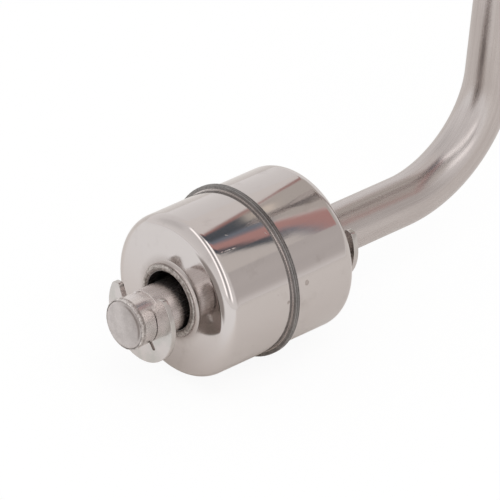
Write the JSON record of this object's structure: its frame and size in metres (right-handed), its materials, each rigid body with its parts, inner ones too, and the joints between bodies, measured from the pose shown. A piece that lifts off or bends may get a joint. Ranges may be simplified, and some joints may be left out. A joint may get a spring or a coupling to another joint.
{
  "type": "float level switch",
  "caption": "Side-mounted level switch: an L-shaped steel stem with a hollow float that slides between two spring clips over a sealed reed contact.",
  "frame": {"origin": "on the mounting leg's axis, in the plane of the gasket's outer face, where the tank wall lies", "axes": "+Z along the mounting leg and out of its threaded stud, -X along the float leg to its free end, the stem lies in the XZ plane; the installer turns the part so that the float leg stands upright"},
  "size_m": [0.0828, 0.0269, 0.0927],
  "materials": {
    "stem_tube": "satin drawn stainless tube",
    "stem_end_plug": "turned stainless, matt",
    "stem_end_weld": "rough weld bead",
    "front_clip": "stamped spring stainless, polished faces",
    "rear_clip": "stamped spring stainless, polished faces",
    "float_front_shell": "mirror-polished drawn stainless",
    "float_rear_shell": "mirror-polished drawn stainless",
    "float_seam_weld": "dark rough seam weld",
    "float_guide_tube": "drawn stainless",
    "float_front_bead": "rough weld bead",
    "float_rear_bead": "rough weld bead",
    "ring_magnet": "sintered ferrite, matt",
    "magnet_holder": "pressed sheet",
    "reed_glass": "green-tinted sealing glass",
    "fixed_reed": "nickel-iron",
    "moving_reed": "nickel-iron",
    "reed_sleeve": "shrunk plastic tube",
    "signal_wire": "insulated stranded wire",
    "return_wire": "insulated stranded wire",
    "mount_fitting": "turned stainless",
    "fitting_weld": "weld bead",
    "gasket": "soft black rubber",
    "potting": "cast resin"
  },
  "bodies": {
    "stem": {"stem_tube": "stem_tube", "stem_end_plug": "stem_end_plug", "stem_end_weld": "stem_end_weld", "front_clip": "front_clip", "rear_clip": "rear_clip", "reed_glass": "reed_glass", "fixed_reed": "fixed_reed", "moving_reed": "moving_reed", "reed_sleeve": "reed_sleeve", "signal_wire": "signal_wire", "return_wire": "return_wire", "mount_fitting": "mount_fitting", "fitting_weld": "fitting_weld", "gasket": "gasket", "potting": "potting"},
    "float": {"float_front_shell": "float_front_shell", "float_rear_shell": "float_rear_shell", "float_seam_weld": "float_seam_weld", "float_guide_tube": "float_guide_tube", "float_front_bead": "float_front_bead", "float_rear_bead": "float_rear_bead", "ring_magnet": "ring_magnet", "magnet_holder": "magnet_holder"}
  },
  "joints": [
    {"name": "float_slide", "type": "slide", "parent": "stem", "child": "float", "axis": [1, 0, 0], "range_m": [-0.0043, 0.0036]}
  ]
}
